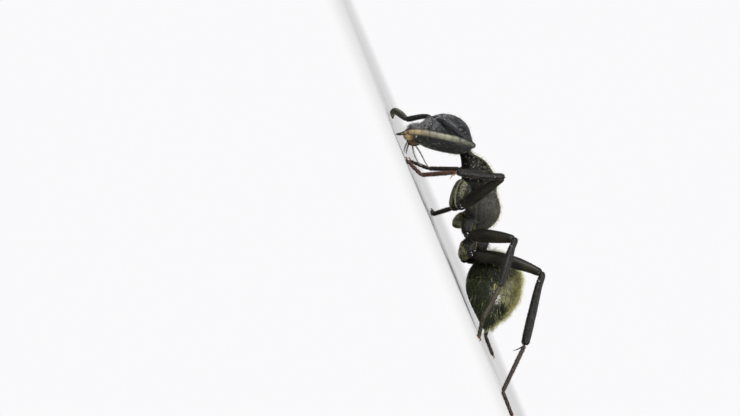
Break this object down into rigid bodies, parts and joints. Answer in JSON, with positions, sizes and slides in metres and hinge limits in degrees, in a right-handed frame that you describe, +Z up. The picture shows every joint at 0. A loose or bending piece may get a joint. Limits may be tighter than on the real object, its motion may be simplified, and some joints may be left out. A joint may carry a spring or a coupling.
{
  "type": "carpenter ant, golden-haired worker",
  "caption": "Life-size black carpenter ant worker with a golden-haired hind body, standing still on its feet, head low and feelers folded forward.",
  "frame": {"origin": "on the floor under the middle of the footprint, at the bottom centre of the box round the whole ant", "axes": "the ant faces -Y, +Z is up, and its left side is at +X"},
  "size_m": [0.0119, 0.0133, 0.0035],
  "materials": {
    "cuticle": "black shell, soft shine with a fine net of bumps",
    "eye": "glossy black, finely faceted",
    "mandible": "reddish brown, smooth, darker at the teeth",
    "feeler": "dark brown with fine pale down",
    "tarsus": "reddish brown, bristly",
    "golden_coat": "black shell under a coat of olive-gold hair"
  },
  "bodies": {
    "root": {"antenna_left_flagellum": "feeler", "antenna_left_scape": "cuticle", "antenna_right_flagellum": "feeler", "antenna_right_scape": "cuticle", "eye_left": "eye", "eye_right": "eye", "gaster_1": "golden_coat", "gaster_2": "golden_coat", "gaster_3": "golden_coat", "gaster_4": "golden_coat", "head": "cuticle", "leg_fore_left_coxa": "golden_coat", "leg_fore_left_femur": "cuticle", "leg_fore_left_tarsus": "tarsus", "leg_fore_left_tibia": "cuticle", "leg_fore_right_coxa": "golden_coat", "leg_fore_right_femur": "cuticle", "leg_fore_right_tarsus": "tarsus", "leg_fore_right_tibia": "cuticle", "leg_hind_left_coxa": "golden_coat", "leg_hind_left_femur": "cuticle", "leg_hind_left_tarsus": "tarsus", "leg_hind_left_tibia": "cuticle", "leg_hind_right_coxa": "golden_coat", "leg_hind_right_femur": "cuticle", "leg_hind_right_tarsus": "tarsus", "leg_hind_right_tibia": "cuticle", "leg_mid_left_coxa": "golden_coat", "leg_mid_left_femur": "cuticle", "leg_mid_left_tarsus": "tarsus", "leg_mid_left_tibia": "cuticle", "leg_mid_right_coxa": "golden_coat", "leg_mid_right_femur": "cuticle", "leg_mid_right_tarsus": "tarsus", "leg_mid_right_tibia": "cuticle", "mandible_left": "mandible", "mandible_right": "mandible", "mesothorax": "cuticle", "petiole": "cuticle", "pronotum": "cuticle", "propodeum": "cuticle"}
  },
  "joints": []
}
